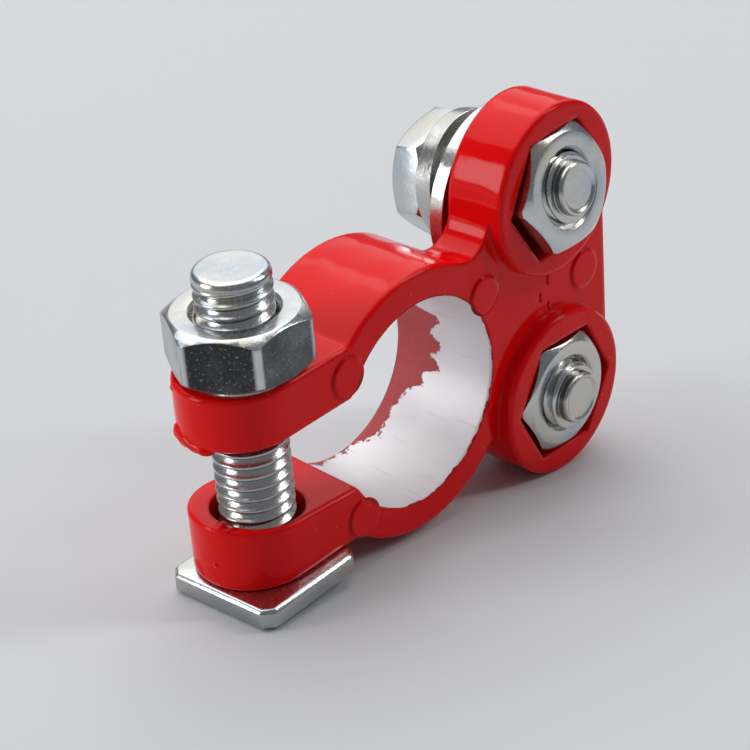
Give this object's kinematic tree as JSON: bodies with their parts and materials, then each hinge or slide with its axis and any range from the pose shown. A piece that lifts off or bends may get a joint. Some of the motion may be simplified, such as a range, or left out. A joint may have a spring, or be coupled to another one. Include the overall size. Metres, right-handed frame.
{
  "type": "battery terminal clamp",
  "caption": "Split ring clamp that a pinch bolt closes on a battery post, with two cable bolts screwed into captive nuts in its web.",
  "frame": {"origin": "centre of the tapered bore, in the middle of the ring's width", "axes": "+Y along the bore from its wide underside to its top, +Z along the pinch bolt from head to nut, +X from the pinch bolt towards the cable bolts"},
  "size_m": [0.0462, 0.0175, 0.0344],
  "materials": {
    "enamel": "gloss",
    "zinc_plate": "satin"
  },
  "bodies": {
    "clamp": {"clamp_body": "enamel", "upper_cable_nut": "zinc_plate", "lower_cable_nut": "zinc_plate"},
    "pinch_nut": {"pinch_nut": "zinc_plate"},
    "pinch_bolt": {"pinch_bolt": "zinc_plate"},
    "upper_washers": {"upper_flat_washer": "zinc_plate", "upper_lock_washer": "zinc_plate"},
    "upper_bolt": {"upper_cable_bolt": "zinc_plate"},
    "lower_washers": {"lower_flat_washer": "zinc_plate", "lower_lock_washer": "zinc_plate"},
    "lower_bolt": {"lower_cable_bolt": "zinc_plate"}
  },
  "joints": [
    {"name": "pinch_bolt_travel", "type": "slide", "parent": "clamp", "child": "pinch_bolt", "axis": [0, 0, -1], "range_m": [0, 0.0035]},
    {"name": "pinch_nut_turn", "type": "hinge", "parent": "clamp", "child": "pinch_nut", "pos_m": [-0.01521, -0.0008, 0.00885], "axis": [0, 0, 1], "range_deg": [0, 1260]},
    {"name": "upper_washers_travel", "type": "slide", "parent": "clamp", "child": "upper_washers", "axis": [0, 0.9848, -0.1736], "range_m": [-0.0004, 0.002]},
    {"name": "upper_bolt_turn", "type": "hinge", "parent": "upper_washers", "child": "upper_bolt", "pos_m": [0.01692, 0.00426, 0.01104], "axis": [0, 0.9848, -0.1736], "range_deg": [-144, 720]},
    {"name": "lower_washers_travel", "type": "slide", "parent": "clamp", "child": "lower_washers", "axis": [0, 1, 0], "range_m": [-0.0019, 0.002]},
    {"name": "lower_bolt_turn", "type": "hinge", "parent": "lower_washers", "child": "lower_bolt", "pos_m": [0.01692, 0.0048, -0.0068], "axis": [0, 1, 0], "range_deg": [-684, 720]}
  ],
  "couplings": [
    {"joint": "pinch_nut_turn", "follows": "pinch_bolt_travel", "rad_per_m": 6283.2},
    {"joint": "upper_bolt_turn", "follows": "upper_washers_travel", "rad_per_m": 6283.2},
    {"joint": "lower_bolt_turn", "follows": "lower_washers_travel", "rad_per_m": 6283.2}
  ]
}
